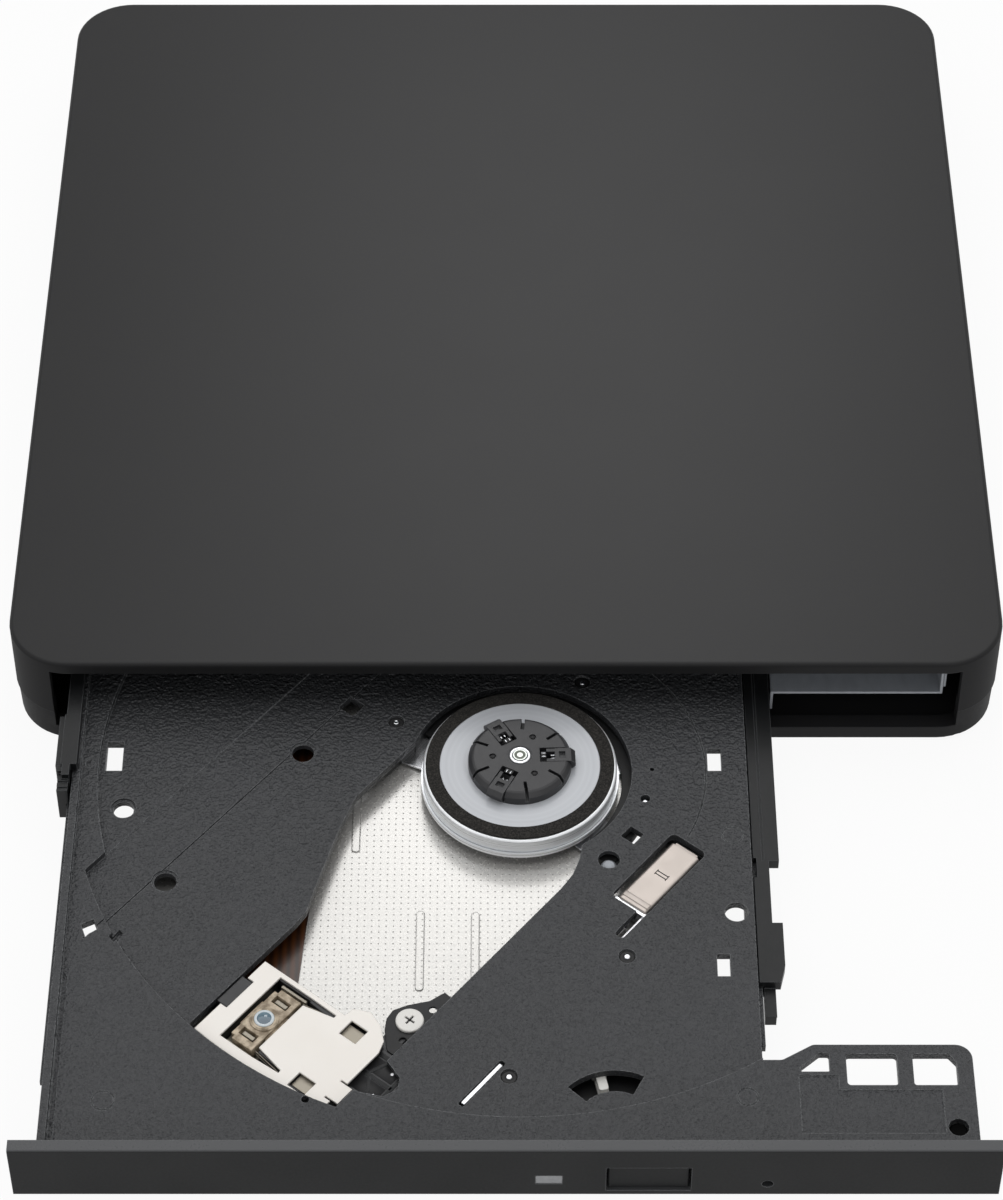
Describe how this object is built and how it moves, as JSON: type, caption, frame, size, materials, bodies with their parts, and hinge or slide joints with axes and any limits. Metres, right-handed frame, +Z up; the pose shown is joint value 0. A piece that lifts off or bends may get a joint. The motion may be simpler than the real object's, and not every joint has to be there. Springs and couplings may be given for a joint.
{
  "type": "external disc drive",
  "caption": "Flat external disc drive with its tray drawn out: turntable and hub, pickup on guide shafts, slide rails, eject lock and button.",
  "frame": {"origin": "on the surface it stands on, under the middle of the whole length from the tray's front to the case's rear", "axes": "+Z up; -Y the side the tray comes out of; +X to the right of somebody who faces that side"},
  "size_m": [0.1448, 0.2318, 0.0176],
  "materials": {
    "case_shell": "satin, fine texture",
    "foot_rubber": "matte",
    "dark_screw": "black oxide",
    "circuit_board": "solder mask",
    "black_component": "moulded",
    "bright_steel": "bright",
    "drive_steel": "zinc plated sheet",
    "guide_plastic": "moulded",
    "rail_plastic": "moulded",
    "flex_film": "polyimide film",
    "tray_plastic": "fine leather grain",
    "bezel_plastic": "satin",
    "light_plastic": "translucent",
    "shield_steel": "bright, pressed dot grid",
    "frame_plastic": "moulded",
    "damper_rubber": "matte",
    "shaft_steel": "polished",
    "motor_can": "plated",
    "stator_copper": "wound copper",
    "bell_aluminium": "turned, satin",
    "magnet": "sintered",
    "table_ring": "light grey",
    "pad_rubber": "fine speckle",
    "hub_plastic": "moulded",
    "pickup_cast": "die cast",
    "pickup_white": "white painted sheet",
    "lens_mount": "mottled beige",
    "lens_glass": "coated",
    "bracket_plastic": "moulded",
    "white_screw": "white zinc",
    "lever_plastic": "moulded white"
  },
  "bodies": {
    "case": {"top_cover": "case_shell", "bottom_cover": "case_shell", "rubber_feet": "foot_rubber", "case_screws": "dark_screw", "interface_board": "circuit_board", "board_components": "black_component", "usb_socket": "bright_steel", "drive_connectors": "black_component", "drive_chassis": "drive_steel", "drive_lid": "drive_steel", "small_screws": "dark_screw", "lock_pin": "shaft_steel", "right_guide_rail": "guide_plastic", "left_guide_rail": "guide_plastic", "chassis_flex": "flex_film"},
    "right_rail": {"right_slide_rail": "rail_plastic"},
    "left_rail": {"left_slide_rail": "rail_plastic"},
    "tray_unit": {"tray": "tray_plastic", "front_bezel": "bezel_plastic", "status_light": "light_plastic", "front_board": "circuit_board", "front_components": "black_component", "tray_shield": "shield_steel", "shield_screws": "dark_screw", "main_board": "circuit_board", "board_chips": "black_component", "tray_flexes": "flex_film", "traverse_frame": "frame_plastic", "traverse_dampers": "damper_rubber", "traverse_screws": "dark_screw", "guide_shafts": "shaft_steel", "feed_motor": "motor_can", "feed_bracket": "bright_steel", "spindle_base": "bright_steel", "spindle_stator": "stator_copper", "solenoid": "bright_steel"},
    "rotor": {"rotor_bell": "bell_aluminium", "rotor_magnet": "magnet", "turntable_ring": "table_ring", "turntable_pad": "pad_rubber", "spindle_shaft": "shaft_steel", "disc_hub": "hub_plastic"},
    "claw_1": {"hub_claw_1": "hub_plastic"},
    "claw_2": {"hub_claw_2": "hub_plastic"},
    "claw_3": {"hub_claw_3": "hub_plastic"},
    "pickup": {"pickup_housing": "pickup_cast", "pickup_cover": "pickup_white", "pickup_inserts": "bright_steel", "rack_bracket": "bracket_plastic", "bracket_screw": "white_screw"},
    "lens_unit": {"lens_holder": "lens_mount", "objective_lens": "lens_glass"},
    "feed_screw": {"lead_screw": "shaft_steel"},
    "button": {"eject_button": "bezel_plastic"},
    "lever": {"lock_lever": "lever_plastic"},
    "plunger": {"solenoid_plunger": "shaft_steel"},
    "pusher": {"ejector_pusher": "guide_plastic"}
  },
  "joints": [
    {"name": "tray_slide", "type": "slide", "parent": "case", "child": "tray_unit", "axis": [0, -1, 0], "range_m": [-0.0818, 0.042]},
    {"name": "right_rail_slide", "type": "slide", "parent": "case", "child": "right_rail", "axis": [0, -1, 0], "range_m": [-0.0617, 0.0317]},
    {"name": "left_rail_slide", "type": "slide", "parent": "case", "child": "left_rail", "axis": [0, -1, 0], "range_m": [-0.0252, 0.013]},
    {"name": "spindle_spin", "type": "hinge", "parent": "tray_unit", "child": "rotor", "pos_m": [0.002, -0.0465, 0.008], "axis": [0, 0, 1], "continuous": true},
    {"name": "claw_1_press", "type": "slide", "parent": "rotor", "child": "claw_1", "axis": [-0.9994, -0.0349, 0], "range_m": [0, 0.0005], "stiffness_N_per_m": 400},
    {"name": "claw_2_press", "type": "slide", "parent": "rotor", "child": "claw_2", "axis": [0.5299, -0.848, 0], "range_m": [0, 0.0005], "stiffness_N_per_m": 400},
    {"name": "claw_3_press", "type": "slide", "parent": "rotor", "child": "claw_3", "axis": [0.4695, 0.8829, 0], "range_m": [0, 0.0005], "stiffness_N_per_m": 400},
    {"name": "pickup_feed", "type": "slide", "parent": "tray_unit", "child": "pickup", "axis": [0.6293, 0.7771, 0], "range_m": [0, 0.0326]},
    {"name": "feed_screw_spin", "type": "hinge", "parent": "tray_unit", "child": "feed_screw", "pos_m": [0.00426, -0.08693, 0.0062], "axis": [-0.6293, -0.7771, 0], "continuous": true},
    {"name": "lens_focus", "type": "slide", "parent": "pickup", "child": "lens_unit", "axis": [0, 0, 1], "range_m": [-0.0004, 0.0004], "stiffness_N_per_m": 30},
    {"name": "button_press", "type": "slide", "parent": "tray_unit", "child": "button", "axis": [0, 1, 0], "range_m": [0, 0.0005], "stiffness_N_per_m": 600},
    {"name": "lever_swing", "type": "hinge", "parent": "tray_unit", "child": "lever", "pos_m": [0.0146, -0.1075, 0.0058], "axis": [0, 0, -1], "range_deg": [0, 20]},
    {"name": "plunger_slide", "type": "slide", "parent": "tray_unit", "child": "plunger", "axis": [1, 0, 0], "range_m": [0, 0.00387]},
    {"name": "pusher_slide", "type": "slide", "parent": "tray_unit", "child": "pusher", "axis": [0, -1, 0], "range_m": [0, 0.0022], "stiffness_N_per_m": 200}
  ],
  "couplings": [
    {"joint": "right_rail_slide", "follows": "tray_slide", "ratio": 0.754},
    {"joint": "left_rail_slide", "follows": "tray_slide", "ratio": 0.308},
    {"joint": "feed_screw_spin", "follows": "pickup_feed", "rad_per_m": 2094.4},
    {"joint": "lever_swing", "follows": "plunger_slide", "rad_per_m": 90.17}
  ]
}
